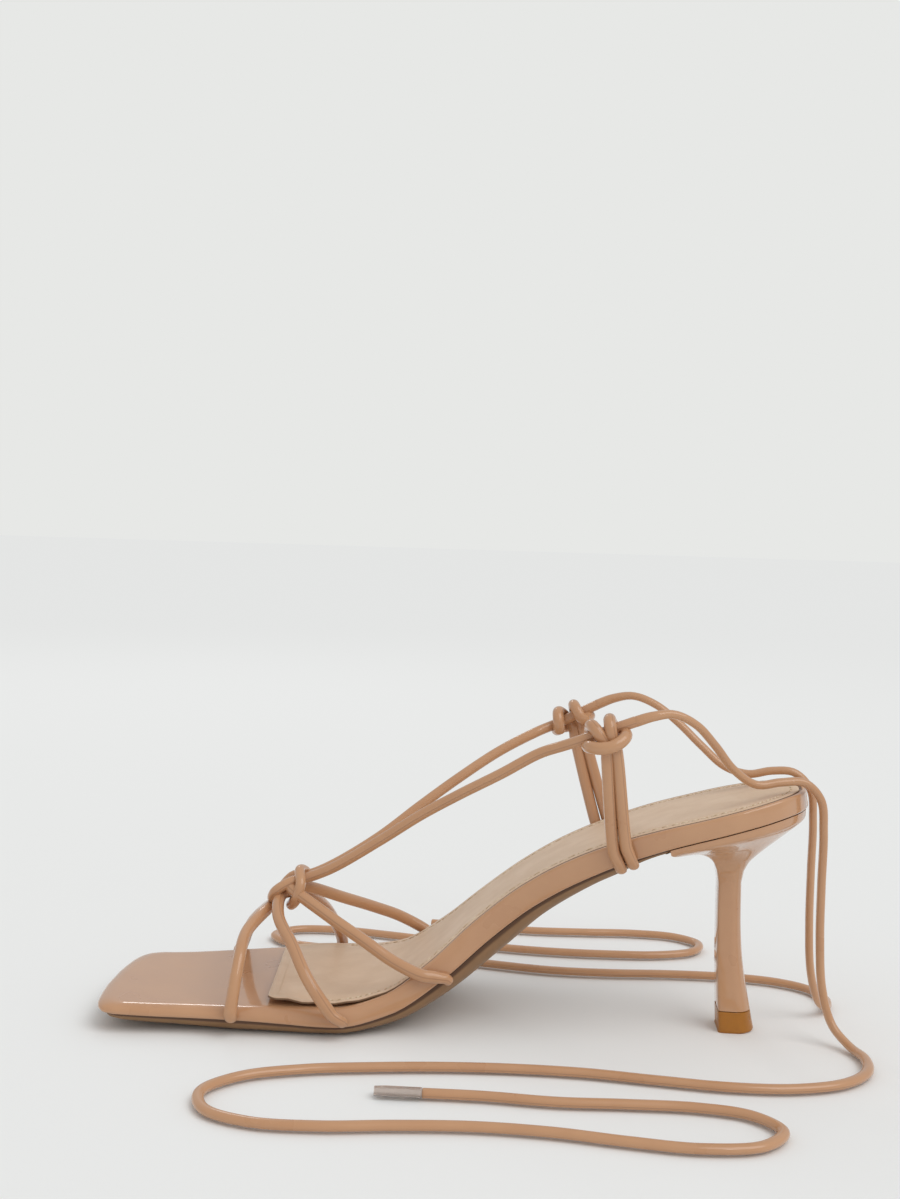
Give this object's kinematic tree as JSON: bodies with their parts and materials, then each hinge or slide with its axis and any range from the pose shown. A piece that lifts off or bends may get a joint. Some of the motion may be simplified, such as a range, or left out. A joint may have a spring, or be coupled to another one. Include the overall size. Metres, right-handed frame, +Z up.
{
  "type": "lace-up heeled sandal",
  "caption": "Right strappy sandal with a square open toe, crossed patent vamp straps bound by a front knot, hitched ankle loops, loose leg ties and a slim covered heel.",
  "frame": {"origin": "centre of the floor face of the heel's top lift", "axes": "+X towards the toe, +Y to the medial side, +Z up from the floor"},
  "size_m": [0.2529, 0.2091, 0.1104],
  "materials": {
    "patent": "glossy patent, nude",
    "sock": "soft matte lining leather",
    "outsole": "smooth satin sole leather",
    "top_lift": "hard amber heel tip",
    "sleeve": "clear thin sleeve"
  },
  "bodies": {
    "root": {"outsole": "outsole", "footbed": "patent", "sock_lining": "sock", "heel": "patent", "top_lift": "top_lift", "upper_straps": "patent", "tie_medial": "patent", "tie_lateral": "patent", "tie_tip_sleeve": "sleeve"}
  },
  "joints": []
}
